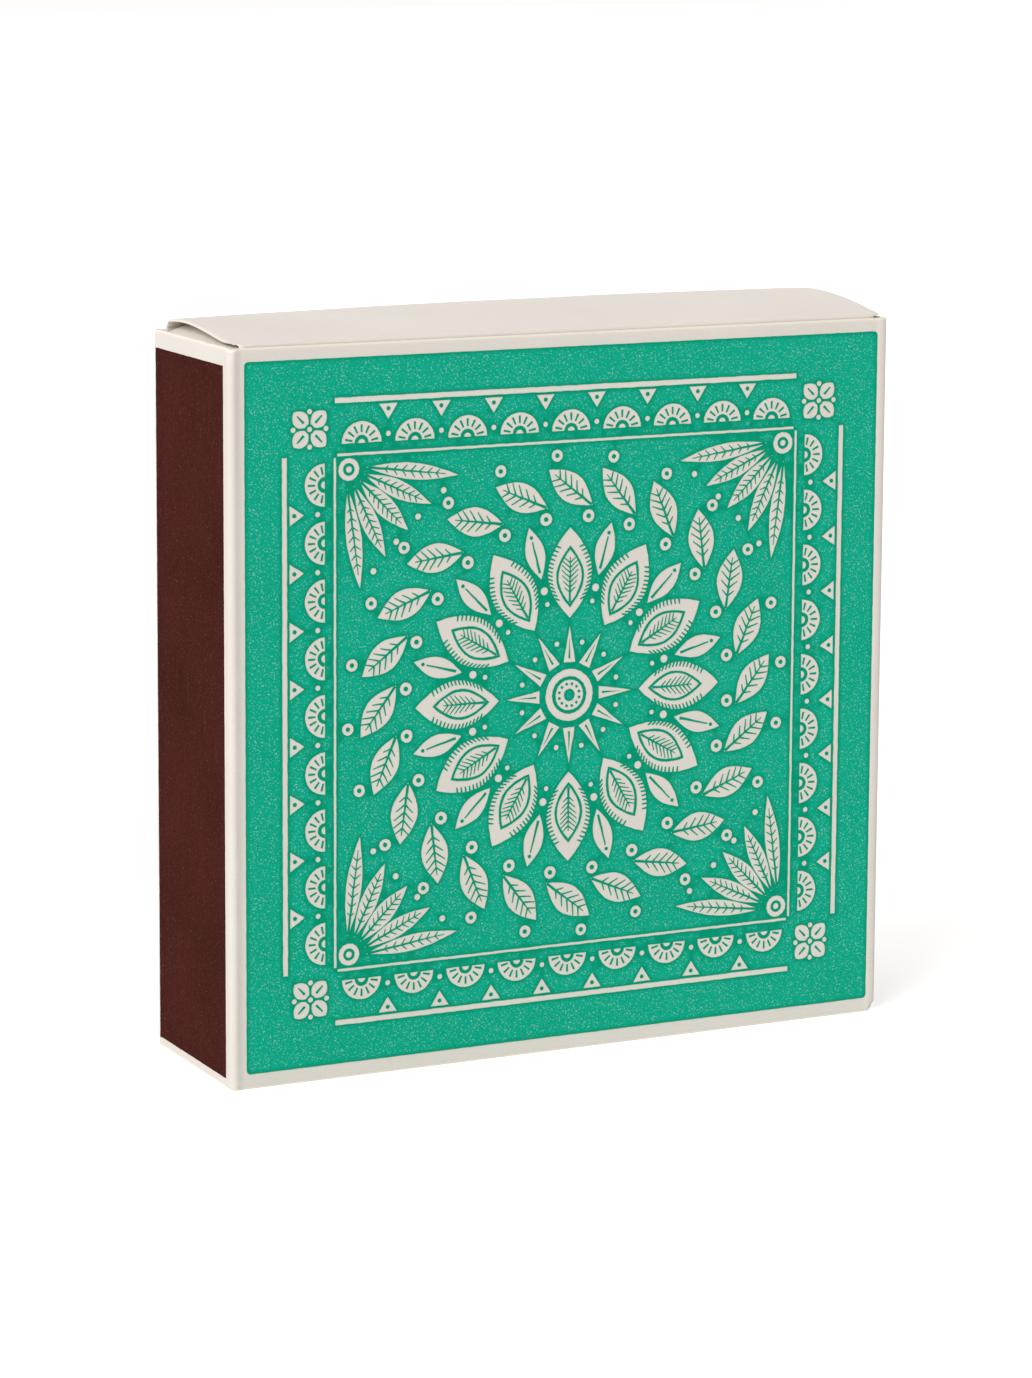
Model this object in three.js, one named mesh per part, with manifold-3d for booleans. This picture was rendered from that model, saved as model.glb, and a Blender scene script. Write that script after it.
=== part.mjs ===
// A square matchbox standing on end. A folded board sleeve has a striking strip on each side and a printed
// front. A folded board tray slides up out of the sleeve with its matches.
// Millimetres, +Z up. The origin is the middle of the base, and the printed front faces -Y.
import * as THREE from 'three';
import { mergeVertices } from 'three/addons/utils/BufferGeometryUtils.js';
import Module from 'manifold-3d';

const wasm = await Module();
wasm.setup();

// Sleeve
const sleeveWidth = 110;
const sleeveDepth = 29.5;
const sleeveHeight = 110;
const sleeveBoard = 0.5;
const sleeveFoldRadius = 0.9; // outside of a fold
const glueFlapWidth = 12;
const seamInset = 0.25; // from the right side's face to the back panel's cut edge

// Striking strips, one on each side
const strikerThickness = 0.12;
const strikerDepth = 25.8;
const leftStrikerFrontMargin = 2.5;
const rightStrikerFrontMargin = 2.2;
const strikerTopMargin = 2.7;
const strikerBottomMargin = 1.4;

// Tray
const slideClearance = 0.3; // between the tray and the sleeve, on every side
const trayBoard = 0.45;
const trayFoldRadius = 0.75; // outside of a fold
const endWallThickness = 2.1; // over both layers of a rolled end
const endWallSideGap = 0.35; // from a rolled end's cut edge to the side wall
const innerLayerGap = 0.4; // from the inner layer's cut edge to the floor
const lidBackRise = 2; // top end above the sleeve's edge, at the back
const lidFrontRise = 0.45; // and at the front
const lidCrownPull = 4.4; // height that draws the arch up between them
const lidCrownPlace = 0.4; // of the way from the back to the front
const lidBackRadius = 1.5; // outside of the fold to the floor
const lidCornerCut = 1.2;
const tabLength = 14;
const tabDrop = 0.25; // from the sleeve's top edge down to the upper tabs
const tabEndGap = 0.7; // from a tab's cut edges to the walls beside them
const endLap = 2; // how far a rolled end's sheet overlaps the floor
const tabLap = 1; // how far a tab's sheet overlaps its side wall

// Matches, one row along the tray's floor
const matchCount = 24;
const stickSide = 2.4;
const headRadius = 1.85;
const headLength = 5;
const headBaseRadius = 1.35;
const headShoulderRadius = 1.4;
const headWidest = 1.75; // height in the head of its widest ring
const headShoulder = 4; // and of its shoulder
const matchGap = 0.3; // from a match to what it rests on
const matchHeadroom = 8.5; // from a head's tip to the upper end

// Front print: a field of ink with the motifs left open, measured from the print's own middle
const printThickness = 0.1;
const printWidth = 105.8;
const printHeight = 105.8;
const printCornerRadius = 0.6;
const printShiftX = 0.3;
const printShiftZ = 0.1;
const outerLinePlace = 46.6;
const outerLineWidth = 0.8;
const innerLinePlace = 38.6;
const innerLineWidth = 0.4;
const tilesPerSide = 9;
const tileGap = 1.6;
const tileScallopRadius = 3.2;
const tilePointHeight = 2.3;
const tilePointWidth = 3;
const cornerFlowerRadius = 3;
const sunRadius = 4;
const rayCount = 12;
const rayInner = 5;
const rayOuter = 10.6;
const rayWidth = 2;
const petalInner = 11.8;
const petalLength = 13.8;
const petalWidth = 7.2;
const budInner = 18.6;
const budLength = 8.2;
const budWidth = 3.2;
const wreathCount = 24;
const wreathRadius = 31.6;
const wreathLeafLength = 9.4;
const wreathLeafWidth = 4.2;
const wreathTurn = 52; // degrees from the radius
const fanPlace = 37;
const fanLobes = [
  { turn: 0, length: 11, width: 2.8 },
  { turn: 20, length: 12, width: 2.6 },
  { turn: -20, length: 12, width: 2.6 },
  { turn: 37.5, length: 15.2, width: 2.4 },
  { turn: -37.5, length: 15.2, width: 2.4 },
];
const fanStart = 3.4;

// Facets
const foldSteps = 4;
const lidSteps = 12;
const motifSteps = 4;
const scallopSteps = 5;
const headSides = 8;

const boardMaterial = new THREE.MeshStandardMaterial({ color: 0xe8e2d9, roughness: 0.75, metalness: 0 });
const trayMaterial = new THREE.MeshStandardMaterial({ color: 0xe6e0d8, roughness: 0.8, metalness: 0 });
const strikerMaterial = new THREE.MeshStandardMaterial({ color: 0x532822, roughness: 0.9, metalness: 0 });
const inkMaterial = new THREE.MeshStandardMaterial({ color: 0x0ca583, roughness: 0.6, metalness: 0 });
const stickMaterial = new THREE.MeshStandardMaterial({ color: 0xdcc295, roughness: 0.8, metalness: 0 });
const headMaterial = new THREE.MeshStandardMaterial({ color: 0x1c6b58, roughness: 0.7, metalness: 0 });

const halfWidth = sleeveWidth / 2;
const halfDepth = sleeveDepth / 2;
const quarter = Math.PI / 2;

// Tray places, all from the sleeve's inside less the clearance
const traySide = halfWidth - sleeveBoard - slideClearance;
const trayFront = -halfDepth + sleeveBoard + slideClearance;
const trayBack = halfDepth - 2 * sleeveBoard - slideClearance;
const halfTrayBoard = trayBoard / 2;
const foldLine = trayFoldRadius - halfTrayBoard; // radius at the middle of the board
const floorLine = trayBack - halfTrayBoard;
const frontLine = trayFront + halfTrayBoard;
const wallLine = traySide - halfTrayBoard;
const endHalfWidth = traySide - trayBoard - endWallSideGap;

// The matches fill the tray's length but for the room over their heads
const matchFoot = endWallThickness + matchGap;
const stickLength = sleeveHeight - endWallThickness - matchHeadroom - headLength - matchFoot;

function arcPoints(x, y, radius, from, to, steps = foldSteps) {
  return Array.from({ length: steps + 1 }, (_, i) => {
    const angle = from + ((to - from) * i) / steps;
    return new THREE.Vector2(x + radius * Math.cos(angle), y + radius * Math.sin(angle));
  });
}

// The outline of a sheet of the given thickness that follows a bent line
function sheetOutline(line, thickness) {
  const left = [];
  const right = [];
  line.forEach((point, i) => {
    const before = point.clone().sub(line[Math.max(i - 1, 0)]).normalize();
    const after = line[Math.min(i + 1, line.length - 1)].clone().sub(point).normalize();
    const along = before.clone().add(after).normalize();
    const bend = Math.max(along.dot(i === 0 ? after : before), 0.5);
    const across = new THREE.Vector2(-along.y, along.x).multiplyScalar(thickness / 2 / bend);
    left.push(point.clone().add(across));
    right.unshift(point.clone().sub(across));
  });
  return new THREE.Shape([...left, ...right]);
}

function extrude(shape, depth) {
  return new THREE.ExtrudeGeometry(shape, { depth, bevelEnabled: false, steps: 1 });
}

// Turns an extrusion so that its outline lies in the Y-Z plane, centred across X
function acrossX(shape, width) {
  const axes = new THREE.Matrix4().makeBasis(
    new THREE.Vector3(0, 1, 0), new THREE.Vector3(0, 0, 1), new THREE.Vector3(1, 0, 0));
  return extrude(shape, width).applyMatrix4(axes).translate(-width / 2, 0, 0);
}

// Turns an extrusion so that its outline lies in the X-Z plane, from the back towards the front
function towardsFront(shape, depth, back) {
  return extrude(shape, depth).rotateX(quarter).translate(0, back, 0);
}

function toSolid(geometry) {
  const bare = geometry.clone();
  bare.deleteAttribute('normal');
  bare.deleteAttribute('uv');
  const merged = mergeVertices(bare, 1e-5);
  return new wasm.Manifold(new wasm.Mesh({
    numProp: 3,
    vertProperties: Float32Array.from(merged.attributes.position.array),
    triVerts: Uint32Array.from(merged.index.array),
  }));
}

function toGeometry(solid) {
  const mesh = solid.getMesh();
  const geometry = new THREE.BufferGeometry();
  geometry.setAttribute('position', new THREE.BufferAttribute(Float32Array.from(mesh.vertProperties), 3));
  geometry.setIndex(new THREE.BufferAttribute(Uint32Array.from(mesh.triVerts), 1));
  geometry.computeVertexNormals();
  return geometry;
}

function namedMesh(name, geometry, material) {
  const mesh = new THREE.Mesh(geometry, material);
  mesh.name = name;
  return mesh;
}

// The sleeve's section. The flap folds in from the right side and the back panel is glued over it.
function makeSleeve() {
  const outer = sleeveFoldRadius;
  const inner = sleeveFoldRadius - sleeveBoard;
  const nearX = halfWidth - outer;
  const nearY = halfDepth - outer;
  const flapFoldY = halfDepth - sleeveBoard - outer;
  const section = new THREE.Shape([
    ...arcPoints(-nearX, -nearY, outer, -2 * quarter, -quarter),
    ...arcPoints(nearX, -nearY, outer, -quarter, 0),
    ...arcPoints(nearX, flapFoldY, outer, 0, quarter),
    new THREE.Vector2(halfWidth - seamInset, halfDepth - sleeveBoard),
    new THREE.Vector2(halfWidth - seamInset, halfDepth),
    ...arcPoints(-nearX, nearY, outer, quarter, 2 * quarter),
  ]);
  const flapEdgeX = halfWidth - sleeveBoard - glueFlapWidth;
  const backInside = halfDepth - sleeveBoard;
  section.holes.push(new THREE.Path([
    ...arcPoints(-nearX, -nearY, inner, -2 * quarter, -quarter),
    ...arcPoints(nearX, -nearY, inner, -quarter, 0),
    ...arcPoints(nearX, flapFoldY, inner, 0, quarter),
    new THREE.Vector2(flapEdgeX, backInside - sleeveBoard),
    new THREE.Vector2(flapEdgeX, backInside),
    ...arcPoints(-nearX, nearY, inner, quarter, 2 * quarter),
  ]));
  return namedMesh('sleeve', extrude(section, sleeveHeight), boardMaterial);
}

// A strip lies flat on a side wall. side is -1 for the left and 1 for the right.
function makeStriker(name, side, frontMargin) {
  const height = sleeveHeight - strikerTopMargin - strikerBottomMargin;
  const strip = namedMesh(name, new THREE.BoxGeometry(strikerThickness, strikerDepth, height), strikerMaterial);
  strip.position.set(
    side * (halfWidth + strikerThickness / 2),
    -halfDepth + frontMargin + strikerDepth / 2,
    strikerBottomMargin + height / 2);
  return strip;
}

// The floor and the side walls, folded up at the tray's long edges
function troughShape() {
  const inner = trayFoldRadius - trayBoard;
  const nearX = traySide - trayFoldRadius;
  const nearY = trayBack - trayFoldRadius;
  return new THREE.Shape([
    new THREE.Vector2(-traySide, trayFront),
    new THREE.Vector2(-traySide + trayBoard, trayFront),
    ...arcPoints(-nearX, nearY, inner, 2 * quarter, quarter),
    ...arcPoints(nearX, nearY, inner, quarter, 0),
    new THREE.Vector2(traySide - trayBoard, trayFront),
    new THREE.Vector2(traySide, trayFront),
    ...arcPoints(nearX, nearY, trayFoldRadius, 0, quarter),
    ...arcPoints(-nearX, nearY, trayFoldRadius, quarter, 2 * quarter),
  ]);
}

// The top end leaves the floor in a wide bend, arches over to the front and rolls in under itself
function topEndLine() {
  const backLine = lidBackRadius - halfTrayBoard;
  const backZ = sleeveHeight + lidBackRise - halfTrayBoard;
  const frontZ = sleeveHeight + lidFrontRise - halfTrayBoard;
  const innerZ = sleeveHeight - endWallThickness + halfTrayBoard;
  const archBack = new THREE.Vector2(floorLine - backLine, backZ);
  const archFront = new THREE.Vector2(frontLine + foldLine, frontZ);
  const crownY = archBack.x + (archFront.x - archBack.x) * lidCrownPlace;
  const crown = new THREE.Vector2(crownY, sleeveHeight + lidCrownPull - halfTrayBoard);
  const arch = new THREE.QuadraticBezierCurve(archBack, crown, archFront).getPoints(lidSteps);
  return [
    new THREE.Vector2(floorLine, innerZ - endLap),
    ...arcPoints(floorLine - backLine, backZ - backLine, backLine, 0, quarter),
    ...arch.slice(1, -1),
    ...arcPoints(frontLine + foldLine, frontZ - foldLine, foldLine, quarter, 2 * quarter),
    ...arcPoints(frontLine + foldLine, innerZ + foldLine, foldLine, 2 * quarter, 3 * quarter),
    new THREE.Vector2(floorLine - halfTrayBoard - innerLayerGap, innerZ),
  ];
}

// The bottom end is rolled the same way and stands flat
function bottomEndLine() {
  const outerZ = halfTrayBoard;
  const innerZ = endWallThickness - halfTrayBoard;
  return [
    new THREE.Vector2(floorLine, innerZ + endLap),
    ...arcPoints(floorLine - foldLine, outerZ + foldLine, foldLine, 0, -quarter),
    ...arcPoints(frontLine + foldLine, outerZ + foldLine, foldLine, -quarter, -2 * quarter),
    ...arcPoints(frontLine + foldLine, innerZ - foldLine, foldLine, 2 * quarter, quarter),
    new THREE.Vector2(floorLine - halfTrayBoard - innerLayerGap, innerZ),
  ];
}

// A side wall's end folds in as a tab. up is 1 at the top end and -1 at the bottom.
function tabLine(side, up, tabZ) {
  const foldX = wallLine - foldLine;
  const bend = arcPoints(foldX, 0, foldLine, 0, quarter).map(
    (point) => new THREE.Vector2(side * point.x, tabZ + up * (point.y - foldLine)));
  return [
    new THREE.Vector2(side * wallLine, tabZ - up * (foldLine + tabLap)),
    ...bend,
    new THREE.Vector2(side * (wallLine - tabLength), tabZ),
  ];
}

function makeTray() {
  const topTabZ = sleeveHeight - tabDrop - halfTrayBoard;
  const bottomTabZ = endWallThickness / 2;
  const troughLow = bottomTabZ + foldLine;
  const troughHigh = topTabZ - foldLine;
  let tray = toSolid(extrude(troughShape(), troughHigh - troughLow).translate(0, 0, troughLow));
  for (const line of [topEndLine(), bottomEndLine()]) {
    tray = tray.add(toSolid(acrossX(sheetOutline(line, trayBoard), 2 * endHalfWidth)));
  }
  const tabBack = trayBack - trayBoard - tabEndGap;
  const tabDepth = tabBack - (trayFront + trayBoard + tabEndGap);
  for (const side of [-1, 1]) {
    for (const [up, tabZ] of [[1, topTabZ], [-1, bottomTabZ]]) {
      const tab = towardsFront(sheetOutline(tabLine(side, up, tabZ), trayBoard), tabDepth, tabBack);
      tray = tray.add(toSolid(tab));
    }
    tray = tray.subtract(toSolid(lidCornerCutter(side)));
  }
  return namedMesh('tray', toGeometry(tray), trayMaterial);
}

// Clips the front corner of the top end across the angle
function lidCornerCutter(side) {
  const reach = slideClearance;
  const corner = new THREE.Vector2(side * endHalfWidth, trayFront);
  const shape = new THREE.Shape([
    new THREE.Vector2(corner.x + side * reach, corner.y - reach),
    new THREE.Vector2(corner.x + side * reach, corner.y + lidCornerCut + reach),
    new THREE.Vector2(corner.x - side * (lidCornerCut + reach), corner.y - reach),
  ]);
  const low = sleeveHeight - tabDrop;
  return extrude(shape, lidCrownPull).translate(0, 0, low);
}

function makeMatch(index) {
  const number = String(index + 1).padStart(2, '0');
  const room = 2 * (traySide - trayBoard);
  const x = -room / 2 + (room * (index + 0.5)) / matchCount;
  const y = trayBack - trayBoard - matchGap - headRadius;
  const stick = namedMesh(
    `match_stick_${number}`, new THREE.BoxGeometry(stickSide, stickSide, stickLength), stickMaterial);
  stick.position.set(x, y, matchFoot + stickLength / 2);
  const profile = [
    new THREE.Vector2(0, 0),
    new THREE.Vector2(headBaseRadius, 0),
    new THREE.Vector2(headRadius, headWidest),
    new THREE.Vector2(headShoulderRadius, headShoulder),
    new THREE.Vector2(0, headLength),
  ];
  const shape = new THREE.LatheGeometry(profile, headSides).rotateX(quarter);
  const head = namedMesh(`match_head_${number}`, shape, headMaterial);
  head.position.set(x, y, matchFoot + stickLength);
  return [stick, head];
}

// Motifs. Each is a closed list of points, and the print's field of ink is left open inside it.
function placed(points, turn, x = 0, y = 0) {
  return points.map((point) => point.clone().rotateAround(new THREE.Vector2(), turn).add(new THREE.Vector2(x, y)));
}

// A pointed leaf that starts at the given distance and runs along +X
function leaf(start, length, width) {
  const edge = Array.from({ length: motifSteps + 1 }, (_, i) => {
    const along = i / motifSteps;
    return new THREE.Vector2(start + length * along, (width / 2) * Math.sin(Math.PI * along));
  });
  const mirrored = edge.slice(1, -1).reverse().map((point) => new THREE.Vector2(point.x, -point.y));
  return [...edge, ...mirrored];
}

function bar(halfLength, place, width) {
  return [
    new THREE.Vector2(-halfLength, place - width / 2),
    new THREE.Vector2(halfLength, place - width / 2),
    new THREE.Vector2(halfLength, place + width / 2),
    new THREE.Vector2(-halfLength, place + width / 2),
  ];
}

// One side of the border: two lines, and tiles of a scallop with a point over it between them
function borderSide() {
  const motifs = [
    bar(innerLinePlace, outerLinePlace, outerLineWidth),
    bar(innerLinePlace - innerLineWidth, innerLinePlace, innerLineWidth),
  ];
  const pitch = (2 * innerLinePlace) / tilesPerSide;
  const low = innerLinePlace + tileGap;
  const high = outerLinePlace - tileGap / 2;
  for (let i = 0; i < tilesPerSide; i += 1) {
    const x = pitch * (i - (tilesPerSide - 1) / 2);
    const next = x + pitch / 2;
    motifs.push(arcPoints(x, low, tileScallopRadius, 0, 2 * quarter, scallopSteps));
    if (i < tilesPerSide - 1) {
      motifs.push([
        new THREE.Vector2(next - tilePointWidth / 2, high),
        new THREE.Vector2(next, high - tilePointHeight),
        new THREE.Vector2(next + tilePointWidth / 2, high),
      ]);
    }
  }
  return motifs;
}

// A flower with four round petals for a corner of the border
function cornerFlower() {
  const points = [];
  for (let i = 0; i < 4; i += 1) {
    const middle = new THREE.Vector2(cornerFlowerRadius / 2, 0);
    const petal = arcPoints(middle.x, 0, cornerFlowerRadius / 2, -quarter, quarter, motifSteps);
    points.push(...placed(petal.slice(1), i * quarter));
  }
  return points;
}

function ring(count, motif, offset = 0) {
  return Array.from({ length: count }, (_, i) => placed(motif, ((i + offset) * 4 * quarter) / count));
}

function printMotifs() {
  const motifs = [];
  const cornerPlace = (innerLinePlace + outerLinePlace) / 2;
  const cornerToMiddle = 2.5 * quarter; // heading from the first corner
  for (let i = 0; i < 4; i += 1) {
    const turn = i * quarter;
    motifs.push(...borderSide().map((points) => placed(points, turn)));
    const corner = new THREE.Vector2(cornerPlace, cornerPlace).rotateAround(new THREE.Vector2(), turn);
    motifs.push(placed(cornerFlower(), quarter / 2, corner.x, corner.y));
    for (const lobe of fanLobes) {
      const root = new THREE.Vector2(fanPlace, fanPlace).rotateAround(new THREE.Vector2(), turn);
      const heading = turn + cornerToMiddle + THREE.MathUtils.degToRad(lobe.turn);
      motifs.push(placed(leaf(fanStart, lobe.length, lobe.width), heading, root.x, root.y));
    }
  }
  const ray = [
    new THREE.Vector2(rayInner, rayWidth / 2),
    new THREE.Vector2(rayInner, -rayWidth / 2),
    new THREE.Vector2(rayOuter, 0),
  ];
  const wreathLeaf = placed(
    leaf(-wreathLeafLength / 2, wreathLeafLength, wreathLeafWidth),
    THREE.MathUtils.degToRad(wreathTurn), wreathRadius);
  motifs.push(arcPoints(0, 0, sunRadius, 0, 4 * quarter, rayCount).slice(0, -1));
  motifs.push(...ring(rayCount, ray));
  motifs.push(...ring(rayCount, leaf(petalInner, petalLength, petalWidth)));
  motifs.push(...ring(rayCount, leaf(budInner, budLength, budWidth), 0.5));
  motifs.push(...ring(wreathCount, wreathLeaf));
  return motifs;
}

function makePrint() {
  const nearX = printWidth / 2 - printCornerRadius;
  const nearY = printHeight / 2 - printCornerRadius;
  const field = new THREE.Shape([
    ...arcPoints(-nearX, -nearY, printCornerRadius, -2 * quarter, -quarter),
    ...arcPoints(nearX, -nearY, printCornerRadius, -quarter, 0),
    ...arcPoints(nearX, nearY, printCornerRadius, 0, quarter),
    ...arcPoints(-nearX, nearY, printCornerRadius, quarter, 2 * quarter),
  ]);
  let ink = toSolid(extrude(field, printThickness));
  for (const motif of printMotifs()) {
    const through = printThickness; // how far a cutter passes the ink on both sides
    const cutter = extrude(new THREE.Shape(motif), printThickness + 2 * through).translate(0, 0, -through);
    ink = ink.subtract(toSolid(cutter));
  }
  const layer = namedMesh('front_print', toGeometry(ink).rotateX(quarter), inkMaterial);
  layer.position.set(printShiftX, -halfDepth, sleeveHeight / 2 + printShiftZ);
  return layer;
}

const sleeveGroup = new THREE.Group();
sleeveGroup.add(makeSleeve());
sleeveGroup.add(makeStriker('striker_left', -1, leftStrikerFrontMargin));
sleeveGroup.add(makeStriker('striker_right', 1, rightStrikerFrontMargin));
sleeveGroup.add(makePrint());

const trayGroup = new THREE.Group();
trayGroup.add(makeTray());
for (let i = 0; i < matchCount; i += 1) {
  trayGroup.add(...makeMatch(i));
}

const matchbox = new THREE.Group();
matchbox.add(sleeveGroup, trayGroup);

export default matchbox;
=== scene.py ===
# A square matchbox standing on end on a pale floor. Metres, Z up, the printed front towards -Y.
# Sizes in the settings are millimetres and angles are degrees, unless a note says otherwise.
import math
import random

import bmesh
import bpy
from mathutils import Matrix, Vector, kdtree, noise
from mathutils.geometry import delaunay_2d_cdt


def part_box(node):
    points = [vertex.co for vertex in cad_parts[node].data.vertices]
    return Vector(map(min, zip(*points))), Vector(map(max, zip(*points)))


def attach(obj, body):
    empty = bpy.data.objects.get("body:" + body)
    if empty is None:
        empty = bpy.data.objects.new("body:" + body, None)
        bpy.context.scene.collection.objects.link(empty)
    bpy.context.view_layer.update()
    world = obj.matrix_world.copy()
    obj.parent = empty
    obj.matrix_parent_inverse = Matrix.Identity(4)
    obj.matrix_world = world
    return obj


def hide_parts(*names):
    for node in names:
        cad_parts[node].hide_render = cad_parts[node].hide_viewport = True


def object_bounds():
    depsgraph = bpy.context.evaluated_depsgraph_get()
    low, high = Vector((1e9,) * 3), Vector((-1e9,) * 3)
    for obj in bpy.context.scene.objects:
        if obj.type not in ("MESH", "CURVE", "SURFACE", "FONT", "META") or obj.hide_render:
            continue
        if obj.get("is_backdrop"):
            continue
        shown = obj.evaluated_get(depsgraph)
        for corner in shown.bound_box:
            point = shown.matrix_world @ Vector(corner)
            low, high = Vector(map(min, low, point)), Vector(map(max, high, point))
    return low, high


mm = 0.001
foldAngle = 32   # faces that meet more sharply are shaded as an edge
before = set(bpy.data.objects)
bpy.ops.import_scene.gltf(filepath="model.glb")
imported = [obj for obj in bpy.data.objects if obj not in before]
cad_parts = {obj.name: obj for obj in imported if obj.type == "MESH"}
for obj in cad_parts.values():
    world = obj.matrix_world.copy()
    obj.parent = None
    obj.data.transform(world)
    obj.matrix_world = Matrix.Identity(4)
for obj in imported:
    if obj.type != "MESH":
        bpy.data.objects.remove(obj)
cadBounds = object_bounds()
print("frame loaded")


# Small tools for shapes

def smoothStep(t):
    t = min(max(t, 0.0), 1.0)
    return t * t * (3 - 2 * t)


def arcPoints(x, y, radius, start, end, steps):
    # angles in degrees
    points = []
    for i in range(steps + 1):
        angle = math.radians(start + (end - start) * i / steps)
        points.append(Vector((x + radius * math.cos(angle), y + radius * math.sin(angle))))
    return points


def spread(start, end, step):
    count = max(1, round(abs(end - start) / step))
    return [start + (end - start) * i / count for i in range(count + 1)]


def wobble(x, y, z, size, seed=0.0):
    # smooth noise in -1..1 whose features are about size across
    return noise.noise(Vector((x / size + seed, y / size - seed, z / size + 2 * seed)))


def setLayer(piece, name, values):
    piece.data.attributes.new(name, "FLOAT", "POINT").data.foreach_set("value", values)


def makePiece(name, verts, faces, materials, faceSlots=None, sharpAngle=foldAngle):
    # verts in millimetres
    mesh = bpy.data.meshes.new(name)
    mesh.from_pydata([Vector(v) * mm for v in verts], [], faces)
    for material in materials:
        mesh.materials.append(material)
    if faceSlots:
        mesh.polygons.foreach_set("material_index", faceSlots)
    shape = bmesh.new()
    shape.from_mesh(mesh)
    bmesh.ops.recalc_face_normals(shape, faces=shape.faces)
    shape.to_mesh(mesh)
    shape.free()
    mesh.polygons.foreach_set("use_smooth", [True] * len(mesh.polygons))
    mesh.set_sharp_from_angle(angle=math.radians(sharpAngle))
    piece = bpy.data.objects.new(name, mesh)
    bpy.context.scene.collection.objects.link(piece)
    return piece


cutThinning = 0.55   # the board's thickness at a cut edge, as a share of the whole
rubAndHighlightWidth = 0.4       # how far the lighter colour of a cut edge runs onto the faces: rubbed wear and a painted highlight


def rubAndHighlightEnd(line):
    # a point close to the line's last one, which keeps the lighter cut-edge colour, rubbed wear and painted
    # highlight, narrow
    return line[:-1] + [line[-1] + (line[-2] - line[-1]).normalized() * rubAndHighlightWidth, line[-1]]


def bentSheet(line, levels, thickness, toPoint, joined=""):
    # A sheet whose middle follows the line, carried along the levels. joined names the ends that run on
    # into another sheet, "start" of the line or "levels". Gives verts, faces, and 1 for each cut face.
    rows, columns = len(line), len(levels)
    sides = ([], [])
    for i, point in enumerate(line):
        ahead = line[min(i + 1, rows - 1)] - line[max(i - 1, 0)]
        across = Vector((-ahead.y, ahead.x)).normalized() * thickness / 2
        for side, sign in zip(sides, (1, -1)):
            for j, level in enumerate(levels):
                share = cutThinning if j in (0, columns - 1) else 1.0
                a, b = point + across * (sign * share)
                side.append(toPoint(a, b, level))
    faces, slots = [], []

    def addFace(slot, *corners):
        faces.append([(side * rows + i) * columns + j for side, i, j in corners])
        slots.append(slot)

    for i in range(rows - 1):
        for j in range(columns - 1):
            for side in (0, 1):
                addFace(0, (side, i, j), (side, i + 1, j), (side, i + 1, j + 1), (side, i, j + 1))
        for j in (0, columns - 1):
            addFace(int(joined != "levels"), (0, i, j), (0, i + 1, j), (1, i + 1, j), (1, i, j))
    for j in range(columns - 1):
        for i in (0, rows - 1):
            addFace(int(joined != "start" or i > 0), (0, i, j), (0, i, j + 1), (1, i, j + 1), (1, i, j))
    return sides[0] + sides[1], faces, slots


def markCutEdges(piece):
    # 1 on the vertices of the cut edges, so that their lighter colour, rubbed wear and a painted highlight,
    # runs a little onto the faces
    values = [0.0] * len(piece.data.vertices)
    for face in piece.data.polygons:
        if face.material_index == 1:
            for i in face.vertices:
                values[i] = 1.0
    setLayer(piece, "cutEdge", values)


# Shader groups that several materials share

def newGroup(name, inputs, outputs):
    group = bpy.data.node_groups.new(name, "ShaderNodeTree")
    for label, value in inputs.items():
        socket = group.interface.new_socket(label, in_out="INPUT", socket_type="NodeSocketFloat")
        socket.default_value = value
    for label in outputs:
        group.interface.new_socket(label, in_out="OUTPUT", socket_type="NodeSocketFloat")
    return group, group.nodes.new("NodeGroupInput"), group.nodes.new("NodeGroupOutput")


def addNode(tree, kind, inputs=None, **settings):
    node = tree.nodes.new(kind)
    for key, value in settings.items():
        setattr(node, key, value)
    for key, value in (inputs or {}).items():
        if isinstance(value, bpy.types.NodeSocket):
            tree.links.new(value, node.inputs[key])
        else:
            node.inputs[key].default_value = value
    return node


def maths(tree, operation, first, second=0.5, clamp=False):
    node = addNode(tree, "ShaderNodeMath", {0: first, 1: second}, operation=operation, use_clamp=clamp)
    return node.outputs[0]


def weigh(tree, first, firstShare, second, secondShare):
    return maths(tree, "ADD", maths(tree, "MULTIPLY", first, firstShare),
                 maths(tree, "MULTIPLY", second, secondShare))


def remap(tree, value, low, high, toLow=0.0, toHigh=1.0):
    node = addNode(tree, "ShaderNodeMapRange", {
        "Value": value, "From Min": low, "From Max": high, "To Min": toLow, "To Max": toHigh})
    return node.outputs["Result"]


def objectPlace(tree, stretch=(1, 1, 1)):
    place = addNode(tree, "ShaderNodeTexCoord").outputs["Object"]
    return addNode(tree, "ShaderNodeMapping", {"Vector": place, "Scale": stretch}).outputs["Vector"]


def noiseFactor(tree, place, scale, detail=3.0, roughness=0.55):
    node = addNode(tree, "ShaderNodeTexNoise", {
        "Vector": place, "Scale": scale, "Detail": detail, "Roughness": roughness})
    return node.outputs["Fac"]


effectSet = {
    "uprightStretch": (1, 1, 0.22),   # of the noise behind the two directions of strands
    "levelStretch": (0.25, 0.6, 1),
    "grainLevels": (0.36, 0.64),      # the noise that becomes 0 and 1
    "mottleLevels": (0.32, 0.68),
    "speckLevel": 0.8,                # the noise that a speck starts at, for an Amount of 0
    "speckDrop": 0.6,                 # how far an Amount of 1 lowers it
    "speckSharpness": 9.0,
}


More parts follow.
